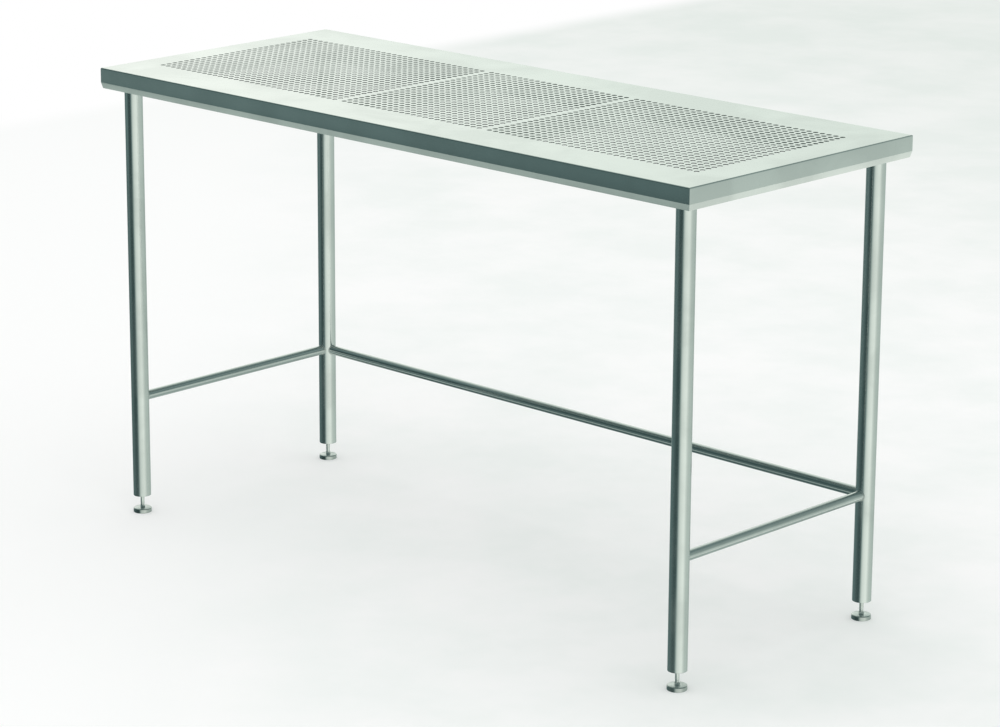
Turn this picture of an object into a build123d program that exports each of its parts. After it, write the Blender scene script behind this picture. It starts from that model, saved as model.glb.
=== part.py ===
from build123d import *

import os
from math import atan2, cos, tan

# A cleanroom table. One folded, perforated stainless sheet is the worktop. Channels under its
# solid borders stiffen it. Four round legs are welded to plates that are bolted up into the
# channels. Round rails tie the legs at the two ends and the back, and the front is open.
# Each leg stands on a levelling foot. The origin is on the floor under the middle of the table,
# +X is its length, +Y points to the back, and +Z is up.

# Overall size
table_length = 1500.0
table_width = 600.0
table_height = 900.0

# Fits
running_clearance = 0.08
swivel_gap = 0.3
weld_gap = 0.1

# Worktop: one sheet, folded down at the four edges, with a lip bent inwards below
top_sheet = 1.5
top_depth = 40.0
lip_drop = 11.4
lip_inset = 2.8
bend_radius = 1.0

# Perforation: three fields of holes on a square grid, parted by narrow solid strips. The end
# fields fill what the solid borders leave. The real holes are round. A block count of 1 makes
# every hole. At 5, one opening stands for a block of five holes each way and is wider by as much,
# so that the sheet stays as open as the real one.
hole_diameter = 10.0
hole_sides = 8
hole_pitch = 15.07
strip_gap = 25.0
middle_field_columns = 24
pattern_offset = -5.0
least_end_border = 66.0
least_side_border = 100.0
hole_block_count = 5

# Channels, open at the bottom, under the solid borders and strips
channel_sheet = 1.5
channel_end_gap = 12.0
border_channel_edge = 20.0
border_channel_width = 75.0
end_channel_edge = 14.0
end_channel_width = 42.0
cross_channel_width = 11.0

# Legs and rails: round tube
leg_diameter = 35.0
leg_wall = 1.5
leg_inset = 44.3
leg_ground_gap = 35.0
rail_diameter = 19.0
rail_wall = 1.2
rail_height = 238.0

# Leg plates, held up under the border channels by closed nuts
plate_thickness = 4.0
plate_length = 100.0
plate_end_gap = 16.0
plate_side_gap = 1.0
plate_corner = 6.0
nut_edge = 12.0
nut_flats = 10.0
nut_height = 12.0
nut_crown = 1.0

# Levelling feet: the stud's plain end turns in the socket of the disc
stud_diameter = 8.0
stud_length = 65.0
stud_hex_flats = 9.0
stud_hex_height = 5.0
foot_diameter = 36.0
foot_height = 8.5
foot_chamfer = 1.2
socket_floor = 2.0
plug_length = 20.0

# Heights and places worked out from the sizes above
half_length = table_length / 2
half_width = table_width / 2
sheet_underside = table_height - top_sheet
skirt_bottom = table_height - top_depth
knee_height = skirt_bottom + lip_drop
lip_angle = atan2(lip_inset, lip_drop)
web_underside = sheet_underside - channel_sheet
plate_underside = web_underside - plate_thickness
leg_axis_x = half_length - leg_inset
leg_axis_y = half_width - leg_inset
plate_width = border_channel_width - 2 * channel_sheet - 2 * plate_side_gap
border_channel_axis = half_width - border_channel_edge - border_channel_width / 2
border_channel_length = table_length - 2 * channel_end_gap
inner_channel_length = table_width - 2 * border_channel_edge - 2 * border_channel_width
middle_field_span = (middle_field_columns - 1) * hole_pitch
end_field_room = (table_length - middle_field_span) / 2 - strip_gap - least_end_border
end_field_columns = int(end_field_room / hole_pitch) + 1
end_field_span = (end_field_columns - 1) * hole_pitch
field_rows = int((table_width - 2 * least_side_border) / hole_pitch) + 1
strip_offset = (middle_field_span + strip_gap) / 2
end_field_offset = (middle_field_span + end_field_span) / 2 + strip_gap

corners = {
    "front_left": (-1, -1),
    "front_right": (1, -1),
    "back_left": (-1, 1),
    "back_right": (1, 1),
}

os.makedirs("parts", exist_ok=True)


def save(piece, name):
    """Name a finished piece and write it to its own file."""
    piece.label = name
    export_step(piece, f"parts/{name}.step")


def folded_block(inset):
    """The block inside the worktop's surface, or inside the sheet's inner side at an inset."""
    top = table_height - inset
    knee = knee_height + inset * tan(lip_angle / 2)
    lip = lip_inset + inset / cos(lip_angle)
    with BuildPart() as block:
        with BuildSketch(Plane.XY.offset(knee)) as knee_outline:
            Rectangle(table_length - 2 * inset, table_width - 2 * inset)
        extrude(amount=top - knee)
        add(knee_outline.sketch)
        with BuildSketch(Plane.XY.offset(skirt_bottom)):
            Rectangle(table_length - 2 * lip, table_width - 2 * lip)
        loft(ruled=True)
        level_edges = block.edges().filter_by(Plane.XY).group_by(Axis.Z)
        fillet(level_edges[-1], radius=bend_radius + top_sheet - inset)
    return block.part


def opening_count(hole_count):
    """How many openings stand for a row of holes."""
    return (hole_count - 1) // hole_block_count + 1


def opening_pitch(hole_count):
    """The pitch that spreads these openings over the whole row."""
    return hole_pitch * hole_count / opening_count(hole_count)


# The worktop is the outer block less the inner one, with the three fields of openings
row_pitch = opening_pitch(field_rows)
with BuildPart() as worktop:
    add(folded_block(0))
    add(folded_block(top_sheet), mode=Mode.SUBTRACT)
    with BuildSketch(Plane.XY.offset(table_height)):
        for field_x, columns in (
            (pattern_offset - end_field_offset, end_field_columns),
            (pattern_offset, middle_field_columns),
            (pattern_offset + end_field_offset, end_field_columns),
        ):
            column_pitch = opening_pitch(columns)
            opening_width = hole_diameter * min(column_pitch, row_pitch) / hole_pitch
            with Locations((field_x, 0)):
                with GridLocations(
                    column_pitch, row_pitch, opening_count(columns), opening_count(field_rows)
                ):
                    RegularPolygon(opening_width / 2, hole_sides, major_radius=False)
    extrude(amount=-2 * top_sheet, mode=Mode.SUBTRACT)
save(worktop.part, "worktop")


def channel(plane, width, length):
    """A channel with its web against the underside of the worktop and its flanges down."""
    depth = sheet_underside - skirt_bottom
    with BuildPart() as piece:
        with BuildSketch(plane):
            with Locations((0, sheet_underside - depth / 2)):
                Rectangle(width, depth)
            with Locations((0, web_underside - depth / 2)):
                Rectangle(width - 2 * channel_sheet, depth, mode=Mode.SUBTRACT)
        extrude(amount=length / 2, both=True)
    return piece.part


# The front and back channels lie under the wide solid borders and carry the leg plates
for name, side in (("front_channel", -1), ("back_channel", 1)):
    section_plane = Plane.YZ.shift_origin((0, side * border_channel_axis, 0))
    save(channel(section_plane, border_channel_width, border_channel_length), name)

# The end channels and the two cross channels run between the front and back channels
end_channel_axis = half_length - end_channel_edge - end_channel_width / 2
for name, axis_x, width in (
    ("left_channel", -end_channel_axis, end_channel_width),
    ("right_channel", end_channel_axis, end_channel_width),
    ("left_cross_channel", pattern_offset - strip_offset, cross_channel_width),
    ("right_cross_channel", pattern_offset + strip_offset, cross_channel_width),
):
    section_plane = Plane.XZ.shift_origin((axis_x, 0, 0))
    save(channel(section_plane, width, inner_channel_length), name)

# Leg plates lie against the channel webs. Three nuts hold each one, in the corners that the leg
# leaves free, on studs that are welded to the web and end inside the closed nuts.
plate_axis_x = half_length - plate_end_gap - plate_length / 2
nut_reach_x = plate_length / 2 - nut_edge
nut_reach_y = plate_width / 2 - nut_edge
nut_places = []
for corner, (side_x, side_y) in corners.items():
    near_x = side_x * (plate_axis_x - nut_reach_x)
    far_x = side_x * (plate_axis_x + nut_reach_x)
    near_y = side_y * (border_channel_axis - nut_reach_y)
    far_y = side_y * (border_channel_axis + nut_reach_y)
    nut_places += [(near_x, near_y), (near_x, far_y), (far_x, near_y)]
    with BuildPart() as leg_plate:
        with BuildSketch(Plane.XY.offset(plate_underside)) as plate_outline:
            with Locations((side_x * plate_axis_x, side_y * border_channel_axis)):
                Rectangle(plate_length, plate_width)
            chamfer(plate_outline.vertices(), length=plate_corner)
        extrude(amount=plate_thickness)
    save(leg_plate.part, f"{corner}_leg_plate")

with BuildPart() as nuts:
    with BuildSketch(Plane.XY.offset(plate_underside - nut_height)):
        with Locations(*nut_places):
            RegularPolygon(nut_flats / 2, 6, major_radius=False)
    extrude(amount=nut_height)
    chamfer(nuts.edges().group_by(Axis.Z)[0], length=nut_crown)
save(nuts.part, "plate_nuts")

# Legs: round tubes from just above the floor up to the leg plates, with a thick plug welded into
# the bottom end and tapped through for the stud
for corner, (side_x, side_y) in corners.items():
    with BuildPart() as leg:
        with BuildSketch(Plane.XY.offset(leg_ground_gap)):
            with Locations((side_x * leg_axis_x, side_y * leg_axis_y)):
                Circle(leg_diameter / 2)
                Circle(stud_diameter / 2 + running_clearance, mode=Mode.SUBTRACT)
        extrude(amount=plug_length)
        with BuildSketch(Plane.XY.offset(leg_ground_gap + plug_length)):
            with Locations((side_x * leg_axis_x, side_y * leg_axis_y)):
                Circle(leg_diameter / 2)
                Circle(leg_diameter / 2 - leg_wall, mode=Mode.SUBTRACT)
        extrude(amount=plate_underside - leg_ground_gap - plug_length)
    save(leg.part, f"{corner}_leg")


def rail(plane, reach, leg_axes):
    """A round tube between two legs, with its ends coped to fit them."""
    with BuildPart() as tube:
        with BuildSketch(plane):
            Circle(rail_diameter / 2)
            Circle(rail_diameter / 2 - rail_wall, mode=Mode.SUBTRACT)
        extrude(amount=reach, both=True)
        with BuildSketch(Plane.XY.offset(rail_height - rail_diameter)):
            with Locations(*leg_axes):
                Circle(leg_diameter / 2 + weld_gap)
        extrude(amount=2 * rail_diameter, mode=Mode.SUBTRACT)
    return tube.part


# The rails stand on the leg axes, at the back and at both ends. The front has none.
back_rail_plane = Plane.YZ.shift_origin((0, leg_axis_y, rail_height))
back_leg_axes = [(-leg_axis_x, leg_axis_y), (leg_axis_x, leg_axis_y)]
save(rail(back_rail_plane, leg_axis_x, back_leg_axes), "back_rail")
for name, side_x in (("left_rail", -1), ("right_rail", 1)):
    end_rail_plane = Plane.XZ.shift_origin((side_x * leg_axis_x, 0, rail_height))
    end_leg_axes = [(side_x * leg_axis_x, -leg_axis_y), (side_x * leg_axis_x, leg_axis_y)]
    save(rail(end_rail_plane, leg_axis_y, end_leg_axes), name)

# Feet: each disc stands on the floor, and its stud goes up through the plug into the leg
hex_bottom = foot_height + swivel_gap
hex_top = hex_bottom + stud_hex_height
for corner, (side_x, side_y) in corners.items():
    foot_place = Location((side_x * leg_axis_x, side_y * leg_axis_y, 0))

    # Foot disc: turned, with a chamfered rim and a blind socket in the top
    with BuildPart() as disc:
        with BuildSketch():
            Circle(foot_diameter / 2)
        extrude(amount=foot_height)
        chamfer(disc.edges().group_by(Axis.Z)[-1], length=foot_chamfer)
        with BuildSketch(Plane.XY.offset(socket_floor)):
            Circle(stud_diameter / 2 + running_clearance)
        extrude(amount=foot_height - socket_floor, mode=Mode.SUBTRACT)
    save(disc.part.moved(foot_place), f"{corner}_foot_disc")

    # Foot stud: threaded rod with a plain end below and a hexagon to turn it
    with BuildPart() as stud:
        with BuildSketch(Plane.XY.offset(socket_floor + swivel_gap)):
            Circle(stud_diameter / 2)
        extrude(amount=hex_top + stud_length - socket_floor - swivel_gap)
        with BuildSketch(Plane.XY.offset(hex_bottom)):
            RegularPolygon(stud_hex_flats / 2, 6, major_radius=False)
        extrude(amount=stud_hex_height)
    save(stud.part.moved(foot_place), f"{corner}_foot_stud")
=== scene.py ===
import math

import bmesh
import bpy
from mathutils import Matrix, Vector


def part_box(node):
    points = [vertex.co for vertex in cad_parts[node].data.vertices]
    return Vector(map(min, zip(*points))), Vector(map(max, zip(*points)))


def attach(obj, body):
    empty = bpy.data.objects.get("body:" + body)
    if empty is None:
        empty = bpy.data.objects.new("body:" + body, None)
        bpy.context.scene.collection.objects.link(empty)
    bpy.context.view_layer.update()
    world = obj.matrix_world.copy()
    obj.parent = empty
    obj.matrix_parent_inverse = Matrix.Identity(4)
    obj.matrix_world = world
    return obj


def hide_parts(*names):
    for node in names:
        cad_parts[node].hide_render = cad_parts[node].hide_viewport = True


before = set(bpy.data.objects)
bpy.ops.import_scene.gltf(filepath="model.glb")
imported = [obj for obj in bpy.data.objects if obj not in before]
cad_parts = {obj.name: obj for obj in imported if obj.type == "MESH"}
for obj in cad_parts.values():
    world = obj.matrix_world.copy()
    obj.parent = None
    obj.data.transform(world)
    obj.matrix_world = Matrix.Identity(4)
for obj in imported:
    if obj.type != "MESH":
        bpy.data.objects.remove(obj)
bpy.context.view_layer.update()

# The satin finish
# Every piece is stainless or plated steel. The sheet is brushed and the tube ground along its
# length, and plates and fittings keep a plain finish. All show faint marks from handling.


def new_group(name, inputs, outputs):
    """A shader group with named inputs and outputs, and the nodes at its two ends."""
    group = bpy.data.node_groups.new(name, "ShaderNodeTree")
    for label, kind in inputs:
        group.interface.new_socket(label, in_out="INPUT", socket_type=kind)
    for label, kind in outputs:
        group.interface.new_socket(label, in_out="OUTPUT", socket_type=kind)
    return group, group.nodes.new("NodeGroupInput"), group.nodes.new("NodeGroupOutput")


def new_node(tree, kind, settings=None, sockets=None):
    """A node with its settings and its unlinked sockets filled in."""
    node = tree.nodes.new(kind)
    for name, value in (settings or {}).items():
        setattr(node, name, value)
    for name, value in (sockets or {}).items():
        node.inputs[name].default_value = value
    return node


def colour_mix(tree, blend_type="MIX", **sockets):
    """A node that mixes the colours A and B."""
    settings = {"data_type": "RGBA", "blend_type": blend_type}
    return new_node(tree, "ShaderNodeMix", settings, sockets)


def eased(tree, start, stop):
    """A node that rises smoothly from 0 at one value to 1 at the other."""
    return new_node(
        tree,
        "ShaderNodeMapRange",
        {"interpolation_type": "SMOOTHSTEP"},
        {"From Min": start, "From Max": stop},
    )


def links(tree, *pairs):
    """Joins each (from, to) pair of sockets."""
    for start, end in pairs:
        tree.links.new(start, end)


# Grain: noise drawn out along one direction, as a grinding belt leaves it
grain, grain_in, grain_out = new_group(
    "belt_grain",
    [("Vector", "NodeSocketVector"), ("Stretch", "NodeSocketVector")],
    [("Height", "NodeSocketFloat")],
)
grain_place = new_node(grain, "ShaderNodeVectorMath", {"operation": "MULTIPLY"})
grain_noise = new_node(
    grain, "ShaderNodeTexNoise", sockets={"Scale": 1.0, "Detail": 3.0, "Roughness": 0.6}
)
links(
    grain,
    (grain_in.outputs["Vector"], grain_place.inputs[0]),
    (grain_in.outputs["Stretch"], grain_place.inputs[1]),
    (grain_place.outputs["Vector"], grain_noise.inputs["Vector"]),
    (grain_noise.outputs["Fac"], grain_out.inputs["Height"]),
)

# Handling: broad, soft patches where cloths and gloves have dulled the finish
handling, handling_in, handling_out = new_group(
    "handling_marks",
    [("Vector", "NodeSocketVector"), ("Patches per metre", "NodeSocketFloat")],
    [("Mask", "NodeSocketFloat")],
)
patch_noise = new_node(
    handling, "ShaderNodeTexNoise", sockets={"Detail": 4.0, "Roughness": 0.55, "Distortion": 0.4}
)
patch_edge = eased(handling, start=0.35, stop=0.7)
links(
    handling,
    (handling_in.outputs["Vector"], patch_noise.inputs["Vector"]),
    (handling_in.outputs["Patches per metre"], patch_noise.inputs["Scale"]),
    (patch_noise.outputs["Fac"], patch_edge.inputs["Value"]),
    (patch_edge.outputs["Result"], handling_out.inputs["Mask"]),
)


def stainless(name, colour, roughness, stretch, depth, layout=False, patches=7.0, dulling=0.08):
    """Stainless steel with handling marks, and grain drawn out by stretch, in lines per metre.

    Depth is the grain's, in metres. Dulling is how much rougher the marks make the steel.
    """
    clean_tone, marked_tone, grain_share = 1.03, 0.93, 0.45
    material = bpy.data.materials.new(name)
    material.use_nodes = True
    tree = material.node_tree
    shader = tree.nodes["Principled BSDF"]
    shader.inputs["Metallic"].default_value = 1.0
    place = new_node(tree, "ShaderNodeTexCoord")
    where = place.outputs["Object"]
    if layout:
        where = new_node(tree, "ShaderNodeUVMap", {"uv_map": "layout"}).outputs["UV"]
    lines = new_node(tree, "ShaderNodeGroup", {"node_tree": grain}, {"Stretch": stretch})
    marks = new_node(
        tree, "ShaderNodeGroup", {"node_tree": handling}, {"Patches per metre": patches}
    )
    shade = new_node(tree, "ShaderNodeMath", {"operation": "MULTIPLY_ADD"}, {1: grain_share})
    tone = colour_mix(
        tree,
        A=(*[c * clean_tone for c in colour], 1.0),
        B=(*[c * marked_tone for c in colour], 1.0),
    )
    gloss = new_node(
        tree,
        "ShaderNodeMapRange",
        sockets={"To Min": roughness - dulling / 2, "To Max": roughness + dulling},
    )
    relief = new_node(tree, "ShaderNodeBump", sockets={"Strength": 0.5, "Distance": depth})
    links(
        tree,
        (where, lines.inputs["Vector"]),
        (place.outputs["Object"], marks.inputs["Vector"]),
        (lines.outputs["Height"], shade.inputs[0]),
        (marks.outputs["Mask"], shade.inputs[2]),
        (shade.outputs["Value"], tone.inputs["Factor"]),
        (tone.outputs["Result"], shader.inputs["Base Color"]),
        (shade.outputs["Value"], gloss.inputs["Value"]),
        (gloss.outputs["Result"], shader.inputs["Roughness"]),
        (lines.outputs["Height"], relief.inputs["Height"]),
        (relief.outputs["Normal"], shader.inputs["Normal"]),
    )
    return material


# The worktop
# One sheet of 1.5 mm stainless, perforated in three fields, brushed along its length and folded
# down at the four edges with a lip bent inwards below. The mitred corners are welded and ground.
sheet = 0.0015
bend_outside = 0.0025
knee_above_lip = 0.0114
lip_inset = 0.0028
hole_diameter = 0.010
hole_pitch = 0.01507
hole_sides = 16
strip_gap = 0.025
end_columns = 33
middle_columns = 24
hole_rows = 27
pattern_offset = -0.005
top_bend_steps = 6
knee_bend_steps = 3
weld_reach = 0.00002

top_low, top_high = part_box("worktop")
sheet_steel = stainless(
    "sheet_steel", (0.74, 0.755, 0.745), 0.2, (3.0, 900.0, 900.0), 0.00001, layout=True, dulling=0.02
)
# the holes' walls: cut steel, rougher than the sheet, and coloured far darker as painted shade inside the
# holes
punched_steel = stainless(
    "punched_steel", (0.34, 0.35, 0.345), 0.38, (900.0, 900.0, 300.0), 0.00003
)


def new_piece(name, mesh, *materials):
    """A finished mesh as an object of the scene, under one name."""
    mesh.name = name
    piece = bpy.data.objects.new(name, mesh)
    bpy.context.scene.collection.objects.link(piece)
    for material in materials:
        mesh.materials.append(material)
    return piece


def mesh_from(bm, crease=30.0):
    """Turns a bmesh into a mesh that is smooth up to the crease angle, with its faces outwards."""
    bmesh.ops.recalc_face_normals(bm, faces=bm.faces)
    for face in bm.faces:
        face.smooth = True
    mesh = bpy.data.meshes.new("shape")
    bm.to_mesh(mesh)
    bm.free()
    mesh.set_sharp_from_angle(angle=math.radians(crease))
    return mesh


def outwards(mesh):
    """Turns all faces of a closed mesh outwards."""
    bm = bmesh.new()
    bm.from_mesh(mesh)
    bmesh.ops.recalc_face_normals(bm, faces=bm.faces)
    bm.to_mesh(mesh)
    bm.free()


def bend(centre, radius, start, stop, steps):
    """Points of a bend in a section: (across, height), with the angles in degrees."""
    points = []
    for step in range(steps + 1):
        angle = math.radians(start + (stop - start) * step / steps)
        points.append((centre[0] + radius * math.cos(angle), centre[1] + radius * math.sin(angle)))
    return points


def fold_section(inset):
    """One side of the folded sheet's section, from the flat top down to the lip's free edge."""
    lip_angle = math.atan2(lip_inset, knee_above_lip)
    radius = bend_outside - inset
    knee = top_low.z + knee_above_lip
    # the knee's bend touches both the skirt and the lip
    knee_centre = (bend_outside, knee + bend_outside * math.tan(lip_angle / 2))
    lip_end = (lip_inset + inset / math.cos(lip_angle), top_low.z)
    top_centre = (bend_outside, top_high.z - bend_outside)
    section = bend(top_centre, radius, 90, 180, top_bend_steps)
    section += bend(knee_centre, radius, 180, 180 + math.degrees(lip_angle), knee_bend_steps)
    section.append(lip_end)
    return section


folds = bmesh.new()
layout = folds.loops.layers.uv.new("layout")
half_length = top_high.x
half_width = top_high.y
outer = fold_section(0.0)
inner = fold_section(sheet)
rings = []
travel = 0.0
previous = outer[0]
for point in outer + inner[::-1]:
    # the layout runs outwards along the outer face and back along the inner one
    if len(rings) <= len(outer):
        travel += math.dist(point, previous)
    else:
        travel -= math.dist(point, previous)
    previous = point
    x, y = half_length - point[0], half_width - point[0]
    ring = [
        folds.verts.new((across * x, deep * y, point[1]))
        for across, deep in ((-1, -1), (1, -1), (1, 1), (-1, 1))
    ]
    rings.append((ring, travel))
flat = Vector((half_length, half_width)) - Vector((bend_outside, bend_outside))
for (upper, upper_travel), (lower, lower_travel) in zip(rings, rings[1:]):
    for side, (facing_x, facing_y) in enumerate(((0, -1), (1, 0), (0, 1), (-1, 0))):
        after = (side + 1) % 4
        quad = (
            (upper[side], upper_travel),
            (upper[after], upper_travel),
            (lower[after], lower_travel),
            (lower[side], lower_travel),
        )
        face = folds.faces.new([vert for vert, _ in quad])
        for loop, (vert, out) in zip(face.loops, quad):
            along = Vector((vert.co.x * abs(facing_y), vert.co.y * abs(facing_x)))
            beyond = Vector((facing_x * (flat.x + out), facing_y * (flat.y + out)))
            loop[layout].uv = along + beyond
worktop = new_piece("perforated_worktop", mesh_from(folds), sheet_steel)


def new_tree(name, inputs):
    """A Geometry Nodes tree with named inputs, and the nodes at its two ends."""
    tree = bpy.data.node_groups.new(name, "GeometryNodeTree")
    for label, kind in (("Geometry", "NodeSocketGeometry"), *inputs):
        tree.interface.new_socket(label, in_out="INPUT", socket_type=kind)
    tree.interface.new_socket("Geometry", in_out="OUTPUT", socket_type="NodeSocketGeometry")
    return tree, tree.nodes.new("NodeGroupInput"), tree.nodes.new("NodeGroupOutput")


def grow(piece, tree, values):
    """Runs the tree on the piece and keeps the result as the piece's plain mesh."""
    modifier = piece.modifiers.new(tree.name, "NODES")
    modifier.node_group = tree
    for socket in tree.interface.items_tree:
        if socket.in_out == "INPUT" and socket.name in values:
            modifier[socket.identifier] = values[socket.name]
    depsgraph = bpy.context.evaluated_depsgraph_get()
    mesh = bpy.data.meshes.new_from_object(
        piece.evaluated_get(depsgraph), preserve_all_data_layers=True, depsgraph=depsgraph
    )
    mesh.name = piece.name
    for index in reversed(range(len(mesh.materials))):
        if mesh.materials[index] is None:
            mesh.materials.pop(index=index)
    piece.modifiers.remove(modifier)
    piece.data = mesh


def feed(tree, value, socket):
    """Links a socket in, or fills in a number."""
    if isinstance(value, bpy.types.NodeSocket):
        tree.links.new(value, socket)
    else:
        socket.default_value = value


def worked_out(tree, operation, *values):
    """The result of a sum on sockets or numbers."""
    node = new_node(tree, "ShaderNodeMath", {"operation": operation})
    for socket, value in zip(node.inputs, values):
        feed(tree, value, socket)
    return node.outputs["Value"]


def placed(tree, geometry, **sides):
    """The geometry moved by the sockets or numbers given for X, Y and Z."""
    vector = new_node(tree, "ShaderNodeCombineXYZ")
    for side, value in sides.items():
        feed(tree, value, vector.inputs[side])
    node = new_node(tree, "GeometryNodeTransform")
    links(
        tree,
        (geometry, node.inputs["Geometry"]),
        (vector.outputs["Vector"], node.inputs["Translation"]),
    )
    return node.outputs["Geometry"]


def joined(tree, *geometries):
    """Several geometries as one."""
    node = new_node(tree, "GeometryNodeJoinGeometry")
    for geometry in geometries[::-1]:
        tree.links.new(geometry, node.inputs["Geometry"])
    return node.outputs["Geometry"]


# A field: a grid of square cells, one for each hole, with its edge as a closed line
field, field_in, field_out = new_tree(
    "hole_field",
    [
        ("Columns", "NodeSocketInt"),
        ("Rows", "NodeSocketInt"),
        ("Pitch", "NodeSocketFloat"),
        ("Centre", "NodeSocketFloat"),
    ],
)
field.interface.new_socket("Edge", in_out="OUTPUT", socket_type="NodeSocketGeometry")
cells = new_node(field, "GeometryNodeMeshGrid")
for count, span, vertices in (
    ("Columns", "Size X", "Vertices X"),
    ("Rows", "Size Y", "Vertices Y"),
):
    length = worked_out(field, "MULTIPLY", field_in.outputs[count], field_in.outputs["Pitch"])
    lines = worked_out(field, "ADD", field_in.outputs[count], 1.0)
    links(field, (length, cells.inputs[span]), (lines, cells.inputs[vertices]))
cells_placed = placed(field, cells.outputs["Mesh"], X=field_in.outputs["Centre"])
neighbours = new_node(field, "GeometryNodeInputMeshEdgeNeighbors")
is_edge = new_node(
    field, "FunctionNodeCompare", {"data_type": "INT", "operation": "EQUAL"}, {"B": 1}
)
edge_line = new_node(field, "GeometryNodeMeshToCurve")
centres = new_node(field, "GeometryNodeMeshToPoints", {"mode": "FACES"})
links(
    field,
    (neighbours.outputs["Face Count"], is_edge.inputs["A"]),
    (cells_placed, edge_line.inputs["Mesh"]),
    (is_edge.outputs["Result"], edge_line.inputs["Selection"]),
    (cells_placed, centres.inputs["Mesh"]),
    (centres.outputs["Points"], field_out.inputs["Geometry"]),
    (edge_line.outputs["Curve"], field_out.inputs["Edge"]),
)

# A sheet: a filled outline above, the same outline below with its faces turned over
sheet_pair, pair_in, pair_out = new_tree(
    "both_faces", [("Thickness", "NodeSocketFloat"), ("Finish", "NodeSocketMaterial")]
)
fill = new_node(sheet_pair, "GeometryNodeFillCurve")
turned_over = new_node(sheet_pair, "GeometryNodeFlipFaces")
pair_finish = new_node(sheet_pair, "GeometryNodeSetMaterial")
under = placed(
    sheet_pair,
    turned_over.outputs["Mesh"],
    Z=worked_out(sheet_pair, "MULTIPLY", pair_in.outputs["Thickness"], -1.0),
)
links(
    sheet_pair,
    (pair_in.outputs["Geometry"], fill.inputs["Curve"]),
    (fill.outputs["Mesh"], turned_over.inputs["Mesh"]),
    (joined(sheet_pair, fill.outputs["Mesh"], under), pair_finish.inputs["Geometry"]),
    (pair_in.outputs["Finish"], pair_finish.inputs["Material"]),
    (pair_finish.outputs["Geometry"], pair_out.inputs["Geometry"]),
)

# The perforated sheet: solid borders and strips, and a cell with a round hole at each place
punch, punch_in, punch_out = new_tree(
    "perforated_sheet",
    [
        ("Length", "NodeSocketFloat"),
        ("Width", "NodeSocketFloat"),
        ("Top", "NodeSocketFloat"),
        ("Thickness", "NodeSocketFloat"),
        ("Hole diameter", "NodeSocketFloat"),
        ("Hole sides", "NodeSocketInt"),
        ("Pitch", "NodeSocketFloat"),
        ("Rows", "NodeSocketInt"),
        ("End columns", "NodeSocketInt"),
        ("Middle columns", "NodeSocketInt"),
        ("Left centre", "NodeSocketFloat"),
        ("Middle centre", "NodeSocketFloat"),
        ("Right centre", "NodeSocketFloat"),
        ("Sheet finish", "NodeSocketMaterial"),
        ("Hole finish", "NodeSocketMaterial"),
    ],
)
given = punch_in.outputs
hole_places, field_edges = [], []
for columns, centre in (
    ("End columns", "Left centre"),
    ("Middle columns", "Middle centre"),
    ("End columns", "Right centre"),
):
    one_field = new_node(punch, "GeometryNodeGroup", {"node_tree": field})
    links(
        punch,
        (given[columns], one_field.inputs["Columns"]),
        (given["Rows"], one_field.inputs["Rows"]),
        (given["Pitch"], one_field.inputs["Pitch"]),
        (given[centre], one_field.inputs["Centre"]),
    )
    hole_places.append(one_field.outputs["Geometry"])
    field_edges.append(one_field.outputs["Edge"])

outline = new_node(punch, "GeometryNodeCurvePrimitiveQuadrilateral")
border = new_node(punch, "GeometryNodeGroup", {"node_tree": sheet_pair})
square = new_node(punch, "GeometryNodeCurvePrimitiveQuadrilateral")
rim = new_node(punch, "GeometryNodeCurvePrimitiveCircle")
cell_faces = new_node(punch, "GeometryNodeGroup", {"node_tree": sheet_pair})
rim_edges = new_node(punch, "GeometryNodeCurveToMesh")
wall = new_node(punch, "GeometryNodeExtrudeMesh", {"mode": "EDGES"}, {"Offset Scale": 1.0})
wall_drop = new_node(punch, "ShaderNodeCombineXYZ")
shaded_wall_material = new_node(punch, "GeometryNodeSetMaterial")
set_out = new_node(punch, "GeometryNodeInstanceOnPoints")
real_cells = new_node(punch, "GeometryNodeRealizeInstances")
where = new_node(punch, "GeometryNodeInputPosition")
flat_layout = new_node(
    punch,
    "GeometryNodeStoreNamedAttribute",
    {"data_type": "FLOAT2", "domain": "CORNER"},
    {"Name": "layout"},
)
welded = new_node(punch, "GeometryNodeMergeByDistance", sockets={"Distance": weld_reach})
cell_outline = joined(punch, square.outputs["Curve"], rim.outputs["Curve"])
one_cell = joined(punch, cell_faces.outputs["Geometry"], shaded_wall_material.outputs["Geometry"])
whole_flat = joined(punch, border.outputs["Geometry"], real_cells.outputs["Geometry"])
flat_top = placed(punch, flat_layout.outputs["Geometry"], Z=given["Top"])
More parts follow.
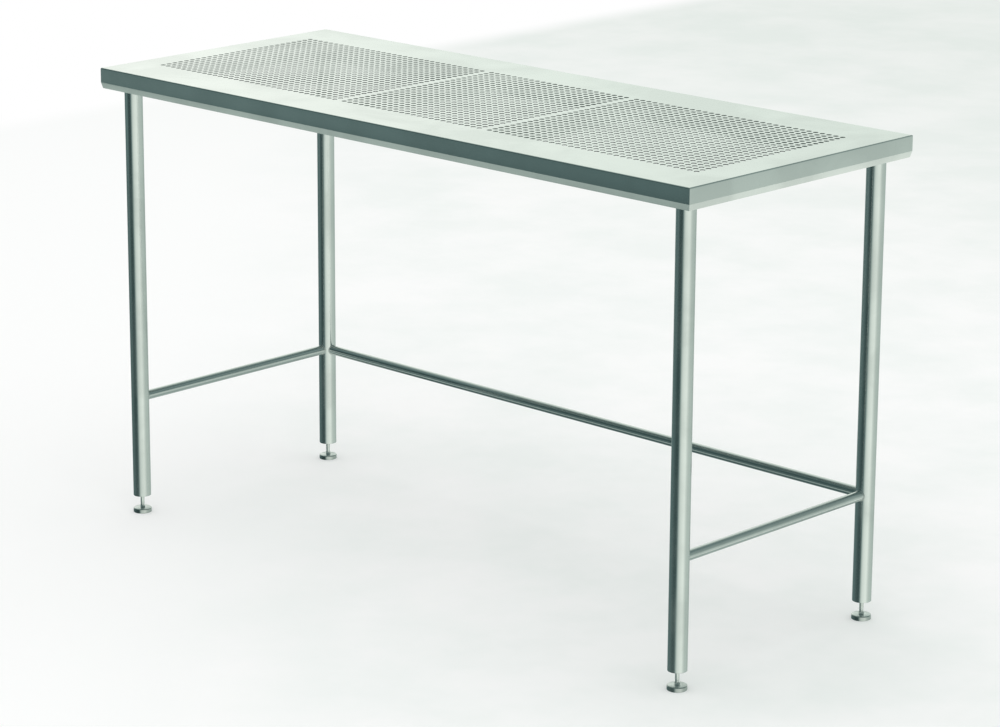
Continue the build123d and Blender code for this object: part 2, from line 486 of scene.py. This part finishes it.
links(
    punch,
    (given["Length"], outline.inputs["Width"]),
    (given["Width"], outline.inputs["Height"]),
    (joined(punch, outline.outputs["Curve"], *field_edges), border.inputs["Geometry"]),
    (given["Thickness"], border.inputs["Thickness"]),
    (given["Sheet finish"], border.inputs["Finish"]),
    (given["Pitch"], square.inputs["Width"]),
    (given["Pitch"], square.inputs["Height"]),
    (worked_out(punch, "MULTIPLY", given["Hole diameter"], 0.5), rim.inputs["Radius"]),
    (given["Hole sides"], rim.inputs["Resolution"]),
    (cell_outline, cell_faces.inputs["Geometry"]),
    (given["Thickness"], cell_faces.inputs["Thickness"]),
    (given["Sheet finish"], cell_faces.inputs["Finish"]),
    (rim.outputs["Curve"], rim_edges.inputs["Curve"]),
    (rim_edges.outputs["Mesh"], wall.inputs["Mesh"]),
    (worked_out(punch, "MULTIPLY", given["Thickness"], -1.0), wall_drop.inputs["Z"]),
    (wall_drop.outputs["Vector"], wall.inputs["Offset"]),
    (wall.outputs["Mesh"], shaded_wall_material.inputs["Geometry"]),
    (given["Hole finish"], shaded_wall_material.inputs["Material"]),
    (one_cell, set_out.inputs["Instance"]),
    (joined(punch, *hole_places), set_out.inputs["Points"]),
    (set_out.outputs["Instances"], real_cells.inputs["Geometry"]),
    (whole_flat, flat_layout.inputs["Geometry"]),
    (where.outputs["Position"], flat_layout.inputs["Value"]),
    (joined(punch, given["Geometry"], flat_top), welded.inputs["Geometry"]),
    (welded.outputs["Geometry"], punch_out.inputs["Geometry"]),
)

end_field_offset = (middle_columns + end_columns) * hole_pitch / 2 + strip_gap - hole_pitch
grow(
    worktop,
    punch,
    {
        "Length": 2 * (half_length - bend_outside),
        "Width": 2 * (half_width - bend_outside),
        "Top": top_high.z,
        "Thickness": sheet,
        "Hole diameter": hole_diameter,
        "Hole sides": hole_sides,
        "Pitch": hole_pitch,
        "Rows": hole_rows,
        "End columns": end_columns,
        "Middle columns": middle_columns,
        "Left centre": pattern_offset - end_field_offset,
        "Middle centre": pattern_offset,
        "Right centre": pattern_offset + end_field_offset,
        "Sheet finish": sheet_steel,
        "Hole finish": punched_steel,
    },
)
outwards(worktop.data)
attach(worktop, "table")
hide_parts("worktop")

# The legs
# Round stainless tube, 35 mm across, ground to a satin finish. A thick plug is welded into the
# bottom end and tapped for the levelling stud.
leg_wall = 0.0015
tube_edge = 0.0003
bore_radius = 0.00408
plug_length = 0.020
tube_steel = stainless(
    "satin_tube", (0.73, 0.745, 0.735), 0.16, (900.0, 12.0, 900.0), 0.000008, layout=True
)


def on_circle(centre, radius, angle, height):
    """A point at an angle round an upright axis."""
    return centre[0] + radius * math.cos(angle), centre[1] + radius * math.sin(angle), height


def turned(section, centre, sides=64, crease=30.0):
    """A body of revolution from a section of (radius, height) points, at a centre in plan."""
    bm = bmesh.new()
    layout = bm.loops.layers.uv.new("layout")
    rows = []
    travel = 0.0
    previous = section[0]
    for radius, height in section:
        travel += math.dist((radius, height), previous)
        previous = (radius, height)
        if radius == 0.0:
            row = [bm.verts.new((*centre, height))] * sides
        else:
            row = [
                bm.verts.new(on_circle(centre, radius, math.tau * side / sides, height))
                for side in range(sides)
            ]
        rows.append((row, travel))
    girth = math.tau * max(radius for radius, _ in section)
    for (upper, upper_travel), (lower, lower_travel) in zip(rows, rows[1:]):
        for side in range(sides):
            after = (side + 1) % sides
            quad = [
                (upper[side], side, upper_travel),
                (upper[after], side + 1, upper_travel),
                (lower[after], side + 1, lower_travel),
                (lower[side], side, lower_travel),
            ]
            if upper[side] == upper[after]:
                quad.pop(1)
            elif lower[side] == lower[after]:
                quad.pop(2)
            face = bm.faces.new([vert for vert, _, _ in quad])
            for loop, (_, place, out) in zip(face.loops, quad):
                loop[layout].uv = (girth * place / sides, out)
    bmesh.ops.remove_doubles(bm, verts=bm.verts, dist=0.000001)
    return mesh_from(bm, crease)


def middle_of(node):
    """The centre of a CAD node in plan."""
    low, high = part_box(node)
    return (low.x + high.x) / 2, (low.y + high.y) / 2


corners = ("front_left", "front_right", "back_left", "back_right")
for corner in corners:
    low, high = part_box(f"{corner}_leg")
    leg_radius = (high.x - low.x) / 2
    inside = leg_radius - leg_wall
    section = [
        (bore_radius + tube_edge, low.z),
        (leg_radius - tube_edge, low.z),
        (leg_radius, low.z + tube_edge),
        (leg_radius, high.z),
        (inside, high.z),
        (inside, low.z + plug_length),
        (bore_radius, low.z + plug_length),
        (bore_radius, low.z + tube_edge),
        (bore_radius + tube_edge, low.z),
    ]
    tube = turned(section, middle_of(f"{corner}_leg"))
    leg = new_piece(f"{corner}_leg_tube", tube, tube_steel)
    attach(leg, "table")
    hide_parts(f"{corner}_leg")

# The rails
# Thinner tube of the same finish, its ends cut to a saddle that fits the legs and welded all
# round. One joins the back legs and one each end pair.
rail_wall = 0.0012
rail_sides = 48
saddle_gap = 0.0001
bead_radius = 0.0011
bead_gap = 0.0002
bead_sides = 8
bead_steps = 2 * rail_sides
ripple_share = 0.1
ripple_steps = 4
weld_steel = stainless("weld_steel", (0.62, 0.63, 0.62), 0.3, (300.0, 300.0, 300.0), 0.00008)


def rail_frame(node):
    """A rail's centre, its axis as an index, and the distance from its centre to the leg axes."""
    low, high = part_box(node)
    size = high - low
    axis = 0 if size.x > size.y else 1
    leg_axis = abs(middle_of("front_left_leg")[axis])
    return (low + high) / 2, axis, leg_axis


def saddle_point(rail_place, end, radius, angle, gap):
    """A point of a rail's wall at a gap from the leg at one end."""
    centre, axis, leg_axis = rail_place
    across = radius * math.cos(angle)
    reach = leg_axis - math.sqrt(leg_radius**2 - across**2) - gap
    point = Vector((0.0, 0.0, centre.z + radius * math.sin(angle)))
    point[axis] = centre[axis] + end * reach
    point[1 - axis] = centre[1 - axis] + across
    return point


def bridge(bm, rings, closed=True):
    """Faces between each ring of vertices and the next, in order round them."""
    faces = []
    for ring, following in zip(rings, rings[1:]):
        for side in range(len(ring) if closed else len(ring) - 1):
            after = (side + 1) % len(ring)
            quad = (ring[side], ring[after], following[after], following[side])
            faces.append(bm.faces.new(quad))
    return faces


for node in ("back_rail", "left_rail", "right_rail"):
    rail_place = rail_frame(node)
    axis = rail_place[1]
    low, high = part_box(node)
    outside = (high.z - low.z) / 2
    inside = outside - rail_wall
    angles = [math.tau * side / rail_sides for side in range(rail_sides)]
    bm = bmesh.new()
    layout = bm.loops.layers.uv.new("layout")
    rings = []
    for end, radius in ((-1, outside), (1, outside), (1, inside), (-1, inside)):
        points = [saddle_point(rail_place, end, radius, angle, saddle_gap) for angle in angles]
        rings.append([bm.verts.new(point) for point in points])
    for number, face in enumerate(bridge(bm, rings + rings[:1])):
        side = number % rail_sides
        for loop, place in zip(face.loops, (side, side + 1, side + 1, side)):
            loop[layout].uv = (math.tau * outside * place / rail_sides, loop.vert.co[axis])
    rail = new_piece(f"{node}_tube", mesh_from(bm), tube_steel)
    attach(rail, "table")
    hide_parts(node)

    # the weld beads lie in the corner between rail and leg
    bm = bmesh.new()
    for end in (-1, 1):
        rings = []
        for step in range(bead_steps):
            angle = math.tau * step / bead_steps
            middle = saddle_point(rail_place, end, outside, angle, bead_gap)
            axial = Vector((0.0, 0.0, 0.0))
            axial[axis] = -end
            radial = Vector((0.0, 0.0, math.sin(angle)))
            radial[1 - axis] = math.cos(angle)
            ripple = ripple_share * math.cos(math.tau * step / ripple_steps)
            section = bend((0.0, 0.0), bead_radius * (1.0 + ripple), 0, 360, bead_sides)
            rings.append(
                [bm.verts.new(middle + x * axial + y * radial) for x, y in section[:-1]]
            )
        bridge(bm, rings + rings[:1])
    beads = new_piece(f"{node}_welds", mesh_from(bm, crease=60.0), weld_steel)
    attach(beads, "table")

# The levelling feet
# Each foot is a turned and plated steel disc. A threaded stud turns in its socket and screws into
# the plug in the leg, and a hexagon just above the disc takes the spanner.
foot_rim = 0.0012
rim_bend_in = 0.45 * foot_rim
rim_bend_down = 0.3 * foot_rim
foot_edge = 0.0005
socket_gap = 0.0003
socket_edge = 0.0002
level_normal = 0.9
stud_radius = 0.004
pin_sides = 32
thread_pitch = 0.00125
thread_depth = 0.0005
thread_run_out = 0.8
hex_flats = 0.009
hex_height = 0.005
hex_gap = 0.0003
hex_face_share = 0.97
hex_chamfer_degrees = 30
# the disc's colour is darkened below that of its level top, painted shade on the rim near the floor
shaded_disc_steel = stainless(
    "plated_disc", (0.525, 0.54, 0.53), 0.12, (900.0, 20.0, 900.0), 0.00001, patches=60.0, layout=True
)
face_steel = stainless(
    "plated_disc_face", (0.7, 0.725, 0.715), 0.3, (900.0, 20.0, 900.0), 0.00002, patches=60.0, layout=True
)
stud_steel = stainless(
    "plated_screw", (0.88, 0.88, 0.87), 0.08, (400.0, 400.0, 400.0), 0.000003, patches=90.0
)


def hexagon(bm, centre, flats, bottom, top, sides=36):
    """A hexagon with its corners turned off at both ends, as on a nut."""
    face_radius = flats / 2 * hex_face_share
    slope = math.tan(math.radians(hex_chamfer_degrees))
    rings = []
    for base, direction in ((bottom, 1), (top, -1)):
        flat_ring, corner_ring = [], []
        for side in range(sides):
            angle = math.tau * side / sides
            reach = flats / 2 / math.cos((angle + math.pi / 6) % (math.pi / 3) - math.pi / 6)
            height = base + direction * (reach - face_radius) * slope
            flat_ring.append(bm.verts.new(on_circle(centre, face_radius, angle, base)))
            corner_ring.append(bm.verts.new(on_circle(centre, reach, angle, height)))
        rings += [flat_ring, corner_ring] if direction == 1 else [corner_ring, flat_ring]
    bridge(bm, rings)
    bm.faces.new(rings[0])
    bm.faces.new(rings[-1])


def thread(bm, centre, bottom, top, segments=24):
    """A right-handed screw thread between two heights, closed at both ends."""
    root = stud_radius - thread_depth
    crest_edge = stud_radius - thread_depth / 10
    profile = (root, crest_edge, stud_radius, stud_radius, crest_edge)
    parts = len(profile)
    rows = int((top - bottom) / thread_pitch * parts) + 2 * parts
    grid = []
    for row in range(-2 * parts, rows):
        line = []
        for segment in range(segments + 1):
            height = bottom + thread_pitch * (row / parts + segment / segments)
            radius = profile[row % parts]
            if not bottom < height < top:
                height = min(max(height, bottom), top)
                radius = root
            # the thread runs out into a cone at the top
            radius = min(radius, root + thread_run_out * (top - height))
            angle = math.tau * segment / segments
            line.append(bm.verts.new(on_circle(centre, radius, angle, height)))
        grid.append(line)
    bridge(bm, grid, closed=False)
    bmesh.ops.remove_doubles(bm, verts=bm.verts, dist=0.000004)
    bmesh.ops.dissolve_degenerate(bm, edges=bm.edges, dist=0.000002)
    rims = [edge for edge in bm.edges if edge.is_boundary]
    bmesh.ops.holes_fill(bm, edges=rims, sides=0)


for corner in corners:
    disc_node = f"{corner}_foot_disc"
    stud_node = f"{corner}_foot_stud"
    centre = middle_of(disc_node)
    low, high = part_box(disc_node)
    stud_low, stud_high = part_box(stud_node)
    outside = (high.x - low.x) / 2
    socket_floor = stud_low.z - socket_gap
    section = [
        (0.0, socket_floor),
        (bore_radius, socket_floor),
        (bore_radius, high.z - socket_edge),
        (bore_radius + socket_edge, high.z),
        (outside - foot_rim, high.z),
        (outside - rim_bend_in, high.z - rim_bend_down),
        (outside, high.z - foot_rim),
        (outside, low.z + foot_edge),
        (outside - foot_edge, low.z),
        (0.0, low.z),
    ]
    disc = new_piece(f"{corner}_foot_turned", turned(section, centre), shaded_disc_steel, face_steel)
    # the level top is rougher than the rim and lighter in colour; the rim's darker colour is painted
    # shade near the floor
    for face in disc.data.polygons:
        if face.normal.z > level_normal:
            face.material_index = 1
    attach(disc, f"{corner}_foot")
    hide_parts(disc_node)

    bm = bmesh.new()
    hex_bottom = high.z + hex_gap
    thread(bm, centre, hex_bottom + hex_height, stud_high.z)
    hexagon(bm, centre, hex_flats, hex_bottom, hex_bottom + hex_height)
    bmesh.ops.create_cone(
        bm,
        cap_ends=True,
        segments=pin_sides,
        radius1=stud_radius,
        radius2=stud_radius,
        depth=hex_bottom - stud_low.z,
        matrix=Matrix.Translation((*centre, (hex_bottom + stud_low.z) / 2)),
    )
    stud = new_piece(f"{corner}_foot_screw", mesh_from(bm, crease=28.0), stud_steel)
    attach(stud, f"{corner}_stud")
    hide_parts(stud_node)

# The channels
# Folded stainless sheet, open below, spot-welded under the solid borders and strips of the
# worktop. They keep the thin sheet flat and carry the leg plates.
channel_bend_steps = 5
channel_steel = stainless(
    "plain_channel", (0.62, 0.635, 0.625), 0.24, (900.0, 900.0, 900.0), 0.00001
)


def folded_channel(node):
    """A channel with bent edges in the place of a CAD node, open at the bottom."""
    low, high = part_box(node)
    size = high - low
    axis = 0 if size.x > size.y else 1
    middle = (low[1 - axis] + high[1 - axis]) / 2
    half = size[1 - axis] / 2
    bend_centre = (half - bend_outside, high.z - bend_outside)
    section = []
    for inset, order in ((0.0, 1), (sheet, -1)):
        side = [(half - inset, low.z)]
        side += bend(bend_centre, bend_outside - inset, 0, 90, channel_bend_steps)
        line = side + [(-x, z) for x, z in side[::-1]]
        section += line[::order]
    bm = bmesh.new()
    ends = []
    for place in (low[axis], high[axis]):
        ring = []
        for across, height in section:
            point = Vector((0.0, 0.0, height))
            point[axis] = place
            point[1 - axis] = middle + across
            ring.append(bm.verts.new(point))
        ends.append(ring)
    bridge(bm, ends)
    for ring in ends:
        for step in range(len(section) // 2 - 1):
            bm.faces.new((ring[step], ring[step + 1], ring[-2 - step], ring[-1 - step]))
    return mesh_from(bm)


for node in (
    "front_channel",
    "back_channel",
    "left_channel",
    "right_channel",
    "left_cross_channel",
    "right_cross_channel",
):
    channel = new_piece(f"{node}_folded", folded_channel(node), channel_steel)
    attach(channel, "table")
    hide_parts(node)

# The leg plates
# Flat plates 4 mm thick, welded to the leg tops and held up under the front and back channels.
# The edges are broken, and a weld runs round each leg.
plate_edge = 0.0005
plate_corner = 0.006
corner_narrowing = 0.6
weld_sides = 96
for corner in corners:
    node = f"{corner}_leg_plate"
    low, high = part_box(node)
    bm = bmesh.new()
    rings = []
    for inset, height in (
        (plate_edge, low.z),
        (0.0, low.z + plate_edge),
        (0.0, high.z - plate_edge),
        (plate_edge, high.z),
    ):
        x0, x1, y0, y1 = low.x + inset, high.x - inset, low.y + inset, high.y - inset
        cut = plate_corner - inset * corner_narrowing
        outline = (
            (x0 + cut, y0), (x1 - cut, y0), (x1, y0 + cut), (x1, y1 - cut),
            (x1 - cut, y1), (x0 + cut, y1), (x0, y1 - cut), (x0, y0 + cut),
        )
        rings.append([bm.verts.new((x, y, height)) for x, y in outline])
    bridge(bm, rings)
    bm.faces.new(rings[0])
    bm.faces.new(rings[-1])
    plate = new_piece(f"{corner}_plate_cut", mesh_from(bm), channel_steel)
    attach(plate, "table")
    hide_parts(node)

    bead = bend((leg_radius, low.z), bead_radius, 0, 360, bead_sides)
    ring_weld = turned(bead, middle_of(f"{corner}_leg"), weld_sides, crease=60.0)
    weld = new_piece(f"{corner}_plate_weld", ring_weld, weld_steel)
    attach(weld, "table")

# The plate nuts
# Closed dome nuts on studs that are welded to the channels, three to each leg plate, in the
# corners that the leg leaves free.
nut_flats = 0.010
nut_hex_height = 0.0055
nut_edge = 0.012
nut_sides = 24
dome_radius = nut_flats / 2 * 0.92
dome_degrees = 72
dome_steps = 4
nut_low, nut_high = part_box("plate_nuts")
nut_height = nut_high.z - nut_low.z
nut_steel = stainless(
    "nut_steel", (0.66, 0.66, 0.65), 0.2, (500.0, 500.0, 500.0), 0.00001, patches=60.0
)

# one nut, which hangs below its origin in the plate's underside
bm = bmesh.new()
dome = [
    (0.0, -nut_hex_height),
    (dome_radius, -nut_hex_height),
    *bend((0.0, dome_radius - nut_height), dome_radius, 0, -dome_degrees, dome_steps),
    (0.0, -nut_height),
]
bm.from_mesh(turned(dome, (0.0, 0.0), nut_sides))
hexagon(bm, (0.0, 0.0), nut_flats, -nut_hex_height, 0.0, nut_sides)
nut = new_piece("one_nut", mesh_from(bm, crease=28.0))

row, row_in, row_out = new_tree(
    "set_out_nuts", [("Nut", "NodeSocketObject"), ("Finish", "NodeSocketMaterial")]
)
nut_shape = new_node(row, "GeometryNodeObjectInfo", {"transform_space": "ORIGINAL"})
nut_places = new_node(row, "GeometryNodeInstanceOnPoints")
real_nuts = new_node(row, "GeometryNodeRealizeInstances")
nut_finish = new_node(row, "GeometryNodeSetMaterial")
links(
    row,
    (row_in.outputs["Nut"], nut_shape.inputs["Object"]),
    (row_in.outputs["Geometry"], nut_places.inputs["Points"]),
    (nut_shape.outputs["Geometry"], nut_places.inputs["Instance"]),
    (nut_places.outputs["Instances"], real_nuts.inputs["Geometry"]),
    (real_nuts.outputs["Geometry"], nut_finish.inputs["Geometry"]),
    (row_in.outputs["Finish"], nut_finish.inputs["Material"]),
    (nut_finish.outputs["Geometry"], row_out.inputs["Geometry"]),
)

places = []
for corner in corners:
    low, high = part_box(f"{corner}_leg_plate")
    leg_x, leg_y = middle_of(f"{corner}_leg")
    for x in (low.x + nut_edge, high.x - nut_edge):
        for y in (low.y + nut_edge, high.y - nut_edge):
            if math.hypot(x - leg_x, y - leg_y) > leg_radius + nut_flats / 2:
                places.append((x, y, low.z))
points = bpy.data.meshes.new("plate_nut_places")
points.from_pydata(places, [], [])
nuts = new_piece("plate_dome_nuts", points)
grow(nuts, row, {"Nut": nut, "Finish": nut_steel})
bpy.data.objects.remove(nut)
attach(nuts, "table")
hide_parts("plate_nuts")

# The studio
# A pale, faintly mottled floor under soft light ends to the left in white. The metal mirrors a
# room with a dark wall to the left, a pale wall to the right and a bright screen behind.
floor_half = 40.0
floor_end = -3.89
floor_end_fade = 0.1
# the centre of the painted shadow of the table by the front right leg
table_shadow_centre = (0.75, -0.1, 0.0)
diagonal = 0.707
floor_mesh = bpy.data.meshes.new("floor")
floor_corners = ((-1, -1), (1, -1), (1, 1), (-1, 1))
floor_mesh.from_pydata(
    [(floor_half * x, floor_half * y, 0.0) for x, y in floor_corners], [], [(0, 1, 2, 3)]
)
floor_paint = bpy.data.materials.new("floor_paint")
floor_paint.use_nodes = True
paint_tree = floor_paint.node_tree
paint = paint_tree.nodes["Principled BSDF"]
paint.inputs["Roughness"].default_value = 1.0
paint.inputs["Specular IOR Level"].default_value = 0.0
floor_place = new_node(paint_tree, "ShaderNodeTexCoord")
floor_sides = new_node(paint_tree, "ShaderNodeSeparateXYZ")
mottle = new_node(
    paint_tree, "ShaderNodeTexNoise", sockets={"Scale": 2.6, "Detail": 4.0, "Roughness": 0.6}
)
mottle_share = new_node(
    paint_tree, "ShaderNodeMapRange", sockets={"From Min": 0.37, "From Max": 0.63}
)
mottle_tone = colour_mix(
    paint_tree, A=(0.911, 0.944, 0.925, 1.0), B=(0.976, 0.987, 0.978, 1.0)
)
# it pales to the left, seen diagonally from the front right, and dims a little far back
floor_sum = worked_out(paint_tree, "ADD", floor_sides.outputs["X"], floor_sides.outputs["Y"])
rightwards = worked_out(paint_tree, "MULTIPLY", floor_sum, diagonal)
pale_share = eased(paint_tree, start=-0.1, stop=-0.8)
pale_tone = colour_mix(paint_tree, B=(0.99, 1.0, 0.993, 1.0))
dim_share = eased(paint_tree, start=1.5, stop=5.5)
dim_tone = colour_mix(paint_tree, "MULTIPLY", B=(0.88, 0.905, 0.885, 1.0))
# a painted shadow of the table lies by the front right leg, a faint darker patch on the floor
shadow_reach = new_node(
    paint_tree, "ShaderNodeVectorMath", {"operation": "DISTANCE"}, {1: table_shadow_centre}
)
shadow_share = eased(paint_tree, start=0.65, stop=0.1)
shadow_tone = colour_mix(paint_tree, "MULTIPLY", B=(0.94, 0.95, 0.945, 1.0))
# a quarter of its tone is a glow, and beyond its left end there is only white
floor_glow = new_node(paint_tree, "ShaderNodeEmission", sockets={"Strength": 0.98})
lifted = new_node(paint_tree, "ShaderNodeMixShader", sockets={"Fac": 0.25})
white = new_node(paint_tree, "ShaderNodeEmission", sockets={"Strength": 1.0})
end_share = eased(paint_tree, floor_end + floor_end_fade, floor_end - floor_end_fade)
ended = new_node(paint_tree, "ShaderNodeMixShader")
links(
    paint_tree,
    (floor_place.outputs["Object"], floor_sides.inputs["Vector"]),
    (floor_place.outputs["Object"], mottle.inputs["Vector"]),
    (floor_place.outputs["Object"], shadow_reach.inputs[0]),
    (mottle.outputs["Fac"], mottle_share.inputs["Value"]),
    (mottle_share.outputs["Result"], mottle_tone.inputs["Factor"]),
    (rightwards, pale_share.inputs["Value"]),
    (pale_share.outputs["Result"], pale_tone.inputs["Factor"]),
    (mottle_tone.outputs["Result"], pale_tone.inputs["A"]),
    (floor_sides.outputs["Y"], dim_share.inputs["Value"]),
    (dim_share.outputs["Result"], dim_tone.inputs["Factor"]),
    (pale_tone.outputs["Result"], dim_tone.inputs["A"]),
    (shadow_reach.outputs["Value"], shadow_share.inputs["Value"]),
    (shadow_share.outputs["Result"], shadow_tone.inputs["Factor"]),
    (dim_tone.outputs["Result"], shadow_tone.inputs["A"]),
    (shadow_tone.outputs["Result"], paint.inputs["Base Color"]),
    (shadow_tone.outputs["Result"], floor_glow.inputs["Color"]),
    (paint.outputs["BSDF"], lifted.inputs[1]),
    (floor_glow.outputs["Emission"], lifted.inputs[2]),
    (floor_sides.outputs["X"], end_share.inputs["Value"]),
    (end_share.outputs["Result"], ended.inputs["Fac"]),
    (lifted.outputs["Shader"], ended.inputs[1]),
    (white.outputs["Emission"], ended.inputs[2]),
    (ended.outputs["Shader"], paint_tree.nodes["Material Output"].inputs["Surface"]),
)
floor = new_piece("floor", floor_mesh, floor_paint)
floor.visible_glossy = False

room = bpy.data.worlds.new("room")
bpy.context.scene.world = room
room.use_nodes = True
room.cycles.sampling_method = "NONE"
air = room.node_tree
sky = air.nodes["Background"]

camera_azimuth = math.radians(44.888)
direction = new_node(air, "ShaderNodeTexCoord")
turn = new_node(
    air, "ShaderNodeVectorRotate", {"rotation_type": "Z_AXIS"}, {"Angle": -camera_azimuth}
)
split = new_node(air, "ShaderNodeSeparateXYZ")
bearing = new_node(air, "ShaderNodeMath", {"operation": "ARCTAN2"})
ahead = new_node(air, "ShaderNodeMath", {"operation": "MULTIPLY"}, {1: -1.0})
share = new_node(
    air, "ShaderNodeMapRange", sockets={"From Min": -math.pi, "From Max": math.pi}
)
links(
    air,
    (direction.outputs["Generated"], turn.inputs["Vector"]),
    (turn.outputs["Vector"], split.inputs["Vector"]),
    (split.outputs["Y"], ahead.inputs[0]),
    (split.outputs["X"], bearing.inputs[0]),
    (ahead.outputs["Value"], bearing.inputs[1]),
    (bearing.outputs["Value"], share.inputs["Value"]),
)


def wall_tones(stops):
    """A ramp round the horizon. Each stop is (degrees right of the camera, brightness).

    The ramp holds half of the brightness, so that parts brighter than 1 fit into it.
    """
    ramp = new_node(air, "ShaderNodeValToRGB")
    points = ramp.color_ramp.elements
    while len(points) < len(stops):
        points.new(0.5)
    for point, (degrees, value) in zip(points, stops):
        point.position = degrees / 360 + 0.5
        point.color = (value / 2, value / 2, value / 2, 1.0)
    air.links.new(share.outputs["Result"], ramp.inputs["Fac"])
    return ramp.outputs["Color"]


# the room in bands, from the lowest up, each named after what mirrors it or where it is
behind = ((-180, 0.4), (-155, 0.2))
legs_dark_side = ((-125, 0.14), (-110, 0.14), (-98, 0.11), (-88, 0.1), (-75, 0.075))
skirt_dark_side = (
    (-125, 0.14), (-110, 0.16), (-97, 0.235), (-91, 0.19), (-85, 0.155), (-75, 0.09),
)
pale_side = (
    (-60, 0.065), (-43, 0.07), (-33, 0.19), (-24, 0.5), (-14, 0.73), (-4, 0.85), (8, 0.91),
    (20, 0.96), (34, 1.0), (42, 0.98), (53, 0.84), (65, 0.7), (80, 0.63), (94, 0.61), (115, 0.57),
    (150, 0.5), (180, 0.4),
)
below_lips = (
    (-180, 0.35), (-148, 0.1), (-100, 0.1), (-60, 0.3), (0, 0.75), (60, 0.8),
    (100, 0.36), (116, 0.36), (148, 0.56), (180, 0.35),
)
below_right_lip = (
    (-180, 0.4), (-125, 0.25), (-112, 0.4), (-105, 0.58), (-94, 0.4), (-60, 0.4), (0, 0.8),
    (60, 0.8), (90, 0.4), (115, 0.4), (148, 0.55), (180, 0.4),
)
lips = (
    (-180, 0.4), (-125, 0.3), (-112, 0.45), (-105, 0.58), (-94, 0.5), (-60, 0.4), (0, 0.8),
    (60, 0.9), (82, 0.5), (97, 0.48), (101, 1.0), (105, 1.03), (109, 1.14), (114, 0.8), (130, 0.5),
    (180, 0.4),
)
legs = behind + legs_dark_side + pale_side
skirts = behind + skirt_dark_side + pale_side
low_wall = (
    (-180, 1.07), (-176, 1.2), (-165, 1.2), (-150, 1.05), (-120, 0.2), (-92, 0.045), (0, 0.25),
    (75, 0.15), (87, 0.15), (95, 0.37), (120, 0.42), (150, 0.85), (168, 0.93), (174, 0.96),
    (180, 1.07),
)
middle_wall = (
    (-180, 0.85), (-150, 0.5), (-120, 0.2), (-95, 0.12), (0, 0.25), (85, 0.24), (105, 0.29),
    (137, 0.4), (150, 0.42), (180, 0.85),
)
high_wall = (
    (-180, 0.7), (-146, 0.4), (-104, 0.16), (0, 0.2), (90, 0.14), (110, 0.14), (146, 0.3), (180, 0.7),
)
ceiling = ((-180, 0.25), (180, 0.25))
height_before = -0.63
tone = wall_tones(below_lips)
for height, stops in (
    (-0.555, below_right_lip),
    (-0.51, lips),
    (-0.44, lips),
    (-0.38, legs),
    (-0.26, legs),
    (-0.2, skirts),
    (0.26, low_wall),
    (0.53, middle_wall),
    (0.68, high_wall),
    (1.0, ceiling),
):
    rise = eased(air, height_before, height)
    blend = colour_mix(air)
    links(
        air,
        (split.outputs["Z"], rise.inputs["Value"]),
        (rise.outputs["Result"], blend.inputs["Factor"]),
        (tone, blend.inputs["A"]),
        (wall_tones(stops), blend.inputs["B"]),
    )
    tone = blend.outputs["Result"]
    height_before = height

# dark parts of the room are a grey green, and bright parts nearly white
cast = new_node(air, "ShaderNodeValToRGB")
cast_points = cast.color_ramp.elements
cast_points[0].color = (0.0, 0.0, 0.0, 1.0)
cast_points[1].color = (0.99, 1.02, 0.965, 1.0)
for position, colour in (
    (0.035, (0.023, 0.04, 0.039, 1.0)),
    (0.08, (0.058, 0.093, 0.091, 1.0)),
    (0.28, (0.255, 0.303, 0.279, 1.0)),
    (0.5, (0.478, 0.523, 0.482, 1.0)),
    (0.54, (0.534, 0.561, 0.525, 1.0)),
    (0.62, (0.622, 0.641, 0.606, 1.0)),
):
    cast_points.new(position).color = colour
# the halved brightness is doubled again. Mirrors see the room, dull surfaces an even pale
# grey, and the camera white.
brighter = colour_mix(air, "MULTIPLY", Factor=1.0, B=(2.0, 2.0, 2.0, 1.0))
rays = new_node(air, "ShaderNodeLightPath")
seen = colour_mix(air, A=(0.96, 0.96, 0.96, 1.0))
pale = colour_mix(air, B=(1.0, 1.0, 1.0, 1.0))
links(
    air,
    (tone, cast.inputs["Fac"]),
    (cast.outputs["Color"], brighter.inputs["A"]),
    (rays.outputs["Is Glossy Ray"], seen.inputs["Factor"]),
    (brighter.outputs["Result"], seen.inputs["B"]),
    (rays.outputs["Is Camera Ray"], pale.inputs["Factor"]),
    (seen.outputs["Result"], pale.inputs["A"]),
    (pale.outputs["Result"], sky.inputs["Color"]),
)

softbox = bpy.data.lights.new("softbox", "AREA")
softbox.shape = "RECTANGLE"
softbox.size = 3.0
softbox.size_y = 3.0
softbox.energy = 15.0
softbox_object = bpy.data.objects.new("softbox", softbox)
softbox_object.location = (1.0, -1.0, 4.0)
to_origin = -softbox_object.location
softbox_object.rotation_euler = to_origin.to_track_quat("-Z", "Y").to_euler()
softbox_object.visible_glossy = False
bpy.context.scene.collection.objects.link(softbox_object)

# The camera
# It stands to the right of the open front, a little above the worktop, with a long lens.
camera_elevation = math.radians(15.055)
aim = Vector((0.0, 0.0, 0.375))
aim_right, aim_up, aim_back = 0.11183, -0.07656, 6.60548
back = Vector(
    (
        math.sin(camera_azimuth) * math.cos(camera_elevation),
        -math.cos(camera_azimuth) * math.cos(camera_elevation),
        math.sin(camera_elevation),
    )
)
right = Vector((math.cos(camera_azimuth), math.sin(camera_azimuth), 0.0))
up = back.cross(right)
camera_data = bpy.data.cameras.new("camera")
camera_data.sensor_width = 36.0
camera_data.lens = 126.13
camera_data.shift_x = 0.073
camera_data.shift_y = -0.0307
camera_data.clip_end = 200.0
camera = bpy.data.objects.new("camera", camera_data)
camera_place = aim + aim_back * back - aim_right * right - aim_up * up
camera_turn = Matrix((right, up, back)).transposed().to_4x4()
camera.matrix_world = Matrix.Translation(camera_place) @ camera_turn
bpy.context.scene.collection.objects.link(camera)
bpy.context.scene.camera = camera
bpy.context.scene.view_settings.view_transform = "Standard"
